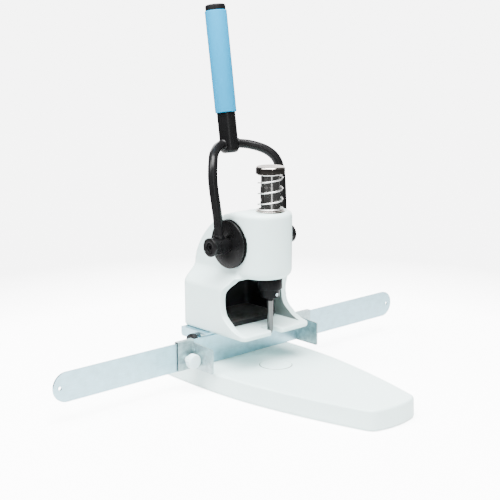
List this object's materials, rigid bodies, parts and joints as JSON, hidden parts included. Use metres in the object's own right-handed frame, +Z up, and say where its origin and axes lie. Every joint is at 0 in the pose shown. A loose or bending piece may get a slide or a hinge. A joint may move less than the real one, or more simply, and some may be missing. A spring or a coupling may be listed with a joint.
{
  "type": "heavy duty single hole punch",
  "caption": "Bench lever press for one round hole in paper: cast frame on a long base, forked lever with grip, rack driven ram with return spring, and a back gauge with paper guides.",
  "frame": {"origin": "on the plane that the mat rests on, under the punch axis", "axes": "+X along the gauge bar to the right of someone facing the machine, +Y from the punch axis to the rear, +Z up along the punch axis"},
  "size_m": [0.456, 0.265, 0.3714],
  "materials": {
    "white_enamel": "gloss",
    "black_enamel": "satin",
    "black_lining": "matte",
    "dark_steel": "satin",
    "ground_steel": "polished",
    "gear_steel": "satin",
    "tool_steel": "satin",
    "spring_steel": "satin",
    "polished_chrome": "polished",
    "zinc_sheet": "satin",
    "zinc_plate": "satin",
    "bronze": "satin",
    "blue_vinyl": "satin",
    "black_plastic": "matte",
    "pale_plastic": "satin",
    "white_nylon": "matte",
    "black_rubber": "matte"
  },
  "bodies": {
    "frame": {"base_plate": "white_enamel", "base_mat": "black_rubber", "frame_casting": "white_enamel", "throat_liner": "black_lining", "frame_bolts": "dark_steel", "upper_ram_bush": "bronze", "lower_ram_bush": "bronze", "spring_washer": "polished_chrome", "return_spring": "spring_steel", "left_bearing_flange": "black_enamel", "right_bearing_flange": "black_enamel", "gauge_guide_screws": "zinc_plate"},
    "lever": {"cross_shaft": "ground_steel", "drive_pinion": "gear_steel", "pinion_key": "ground_steel", "left_lever_hub": "black_enamel", "right_lever_hub": "black_enamel", "hub_end_screws": "dark_steel", "left_fork_leg": "black_enamel", "right_fork_leg": "black_enamel", "lever_tube": "black_enamel", "handle_grip": "blue_vinyl", "grip_end_cap": "black_plastic"},
    "punch_ram": {"ram": "ground_steel", "ram_cap": "polished_chrome", "bit_holder": "dark_steel", "punch_bit": "tool_steel", "bit_clamp_screw": "zinc_plate"},
    "pad": {"cutting_pad": "white_nylon"},
    "back_gauge": {"gauge_bar": "zinc_sheet", "gauge_slide": "zinc_sheet", "bar_rivets": "zinc_sheet"},
    "gauge_lock": {"gauge_lock_knob": "black_plastic", "gauge_lock_screw": "zinc_plate"},
    "left_guide": {"left_paper_guide": "zinc_sheet"},
    "left_guide_clamp": {"left_guide_knob": "pale_plastic", "left_guide_stud": "zinc_plate"},
    "right_guide": {"right_paper_guide": "zinc_sheet"},
    "right_guide_clamp": {"right_guide_knob": "pale_plastic", "right_guide_stud": "zinc_plate"}
  },
  "joints": [
    {"name": "lever_swing", "type": "hinge", "parent": "frame", "child": "lever", "pos_m": [0, 0.0277, 0.1406], "axis": [1, 0, 0], "range_deg": [0, 84.3]},
    {"name": "ram_slide", "type": "slide", "parent": "frame", "child": "punch_ram", "axis": [0, 0, -1], "range_m": [0, 0.031], "stiffness_N_per_m": 700, "springref_m": -0.01, "deforming": ["return_spring"]},
    {"name": "pad_turn", "type": "hinge", "parent": "frame", "child": "pad", "pos_m": [0, -0.0085, 0.014], "axis": [0, 0, 1], "continuous": true},
    {"name": "gauge_depth", "type": "slide", "parent": "frame", "child": "back_gauge", "axis": [0, 1, 0], "range_m": [-0.006, 0.003]},
    {"name": "gauge_lock_turn", "type": "hinge", "parent": "back_gauge", "child": "gauge_lock", "pos_m": [-0.05, 0.0545, 0.0413], "axis": [1, 0, 0], "range_deg": [-360, 0]},
    {"name": "left_guide_slide", "type": "slide", "parent": "back_gauge", "child": "left_guide", "axis": [1, 0, 0], "range_m": [-0.12, 0.016]},
    {"name": "left_guide_clamp_turn", "type": "hinge", "parent": "left_guide", "child": "left_guide_clamp", "pos_m": [-0.0767, 0.0377, 0.03114], "axis": [0, 1, 0], "range_deg": [-360, 0]},
    {"name": "right_guide_slide", "type": "slide", "parent": "back_gauge", "child": "right_guide", "axis": [1, 0, 0], "range_m": [-0.022, 0.114]},
    {"name": "right_guide_clamp_turn", "type": "hinge", "parent": "right_guide", "child": "right_guide_clamp", "pos_m": [0.0827, 0.0377, 0.03114], "axis": [0, 1, 0], "range_deg": [-360, 0]}
  ],
  "couplings": [
    {"joint": "ram_slide", "follows": "lever_swing", "m_per_rad": 0.021}
  ]
}
